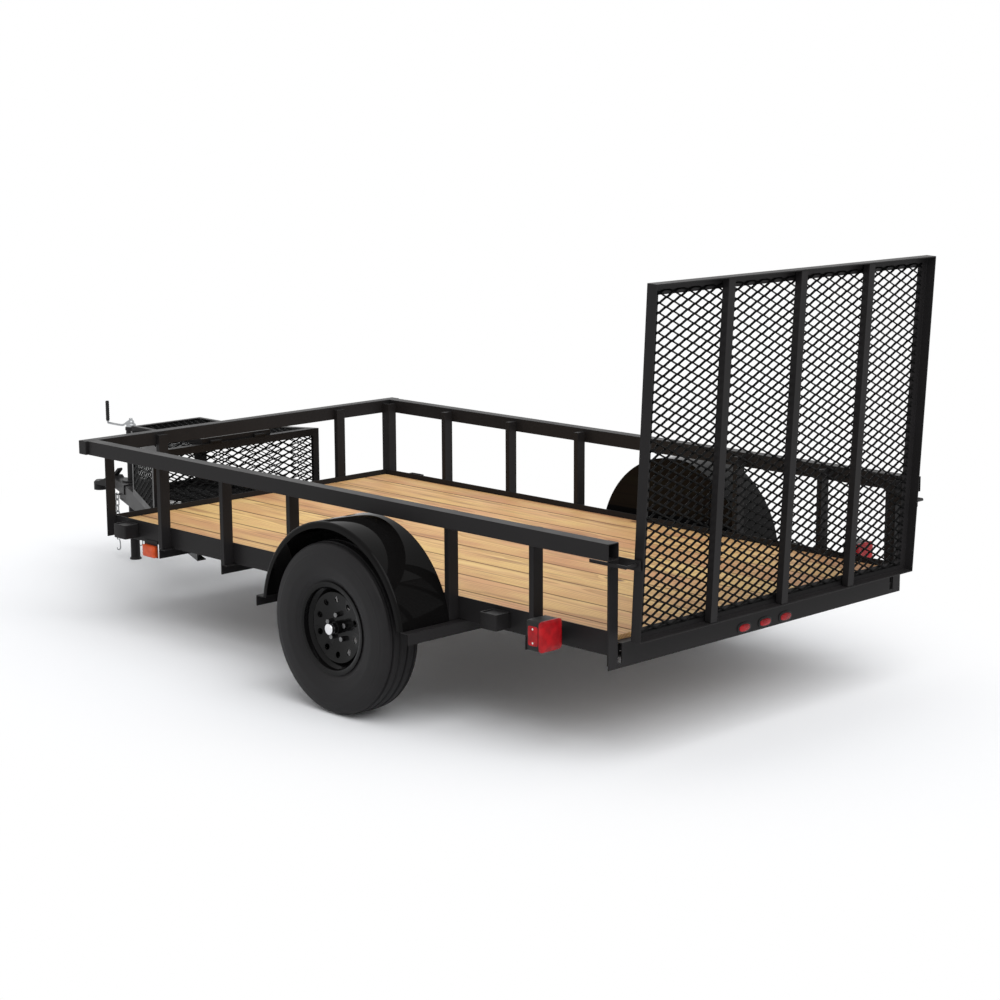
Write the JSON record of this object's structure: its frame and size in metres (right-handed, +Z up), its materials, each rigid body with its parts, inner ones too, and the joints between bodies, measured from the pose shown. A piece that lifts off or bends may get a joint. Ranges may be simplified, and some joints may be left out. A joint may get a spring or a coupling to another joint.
{
  "type": "utility trailer",
  "caption": "Single-axle open utility trailer with a wooden deck, tube side rails, a mesh ramp gate, a mesh tongue basket, tongue jack and ball coupler.",
  "frame": {"origin": "on the ground under the middle of the trailer's bounding box", "axes": "+X forward to the coupler, +Y to the left, +Z up"},
  "size_m": [5.2222, 2.549, 1.9677],
  "materials": {
    "black_paint": "satin black powder coat",
    "fender_black": "glossy black paint",
    "pine": "sawn pressure-treated pine",
    "tyre_rubber": "matte rubber",
    "rim_black": "satin black",
    "hub_metal": "worn steel with a bright cap",
    "spring_steel": "dark coated steel",
    "jack_metal": "zinc plated",
    "chain_metal": "zinc plated",
    "red_lens": "red lamp lens",
    "amber_lens": "amber lamp lens",
    "lamp_case": "black plastic"
  },
  "bodies": {
    "chassis": {"side_rail_left": "black_paint", "side_rail_right": "black_paint", "front_frame_angle": "black_paint", "rear_sill": "black_paint", "deck_crossmembers": "black_paint", "deck_planks": "pine", "top_rail_left": "black_paint", "top_rail_right": "black_paint", "top_rail_front": "black_paint", "rail_posts_left": "black_paint", "rail_posts_right": "black_paint", "rail_posts_front": "black_paint", "fender_left": "fender_black", "fender_right": "fender_black", "fender_supports": "black_paint", "tongue_crossmembers": "black_paint", "tongue_leg_left": "black_paint", "tongue_leg_right": "black_paint", "coupler": "black_paint", "coupler_latch": "black_paint", "jack_tube": "black_paint", "jack_crank": "jack_metal", "safety_chains": "chain_metal", "axle_beam": "black_paint", "leaf_springs": "spring_steel", "spring_fittings": "spring_steel", "basket_frame": "black_paint", "basket_mesh": "black_paint", "gate_hinge_lugs": "black_paint", "gate_latches": "black_paint", "lamp_brackets": "black_paint", "tail_lamp_housings": "lamp_case", "red_lenses": "red_lens", "side_markers": "amber_lens"},
    "left_wheel": {"rim_left": "rim_black", "tyre_left": "tyre_rubber", "hub_left": "hub_metal"},
    "right_wheel": {"rim_right": "rim_black", "tyre_right": "tyre_rubber", "hub_right": "hub_metal"},
    "gate": {"gate_frame": "black_paint", "gate_dividers": "black_paint", "gate_mesh": "black_paint"},
    "basket_lid": {"lid_frame": "black_paint", "lid_mesh": "black_paint"},
    "jack_foot": {"jack_leg": "black_paint"}
  },
  "joints": [
    {"name": "left_wheel_spin", "type": "hinge", "parent": "chassis", "child": "left_wheel", "pos_m": [-1.02792, 1.172, 0.3866], "axis": [0, 1, 0], "continuous": true},
    {"name": "right_wheel_spin", "type": "hinge", "parent": "chassis", "child": "right_wheel", "pos_m": [-1.02792, -1.172, 0.3866], "axis": [0, 1, 0], "continuous": true},
    {"name": "gate_hinge", "type": "hinge", "parent": "chassis", "child": "gate", "pos_m": [-2.46837, 0, 0.54156], "axis": [0, -1, 0], "range_deg": [0, 106.4]},
    {"name": "basket_lid_hinge", "type": "hinge", "parent": "chassis", "child": "basket_lid", "pos_m": [1.23808, 0, 0.8263], "axis": [0, -1, 0], "range_deg": [0, 90]},
    {"name": "jack_slide", "type": "slide", "parent": "chassis", "child": "jack_foot", "axis": [0, 0, 1], "range_m": [0, 0.25]}
  ]
}
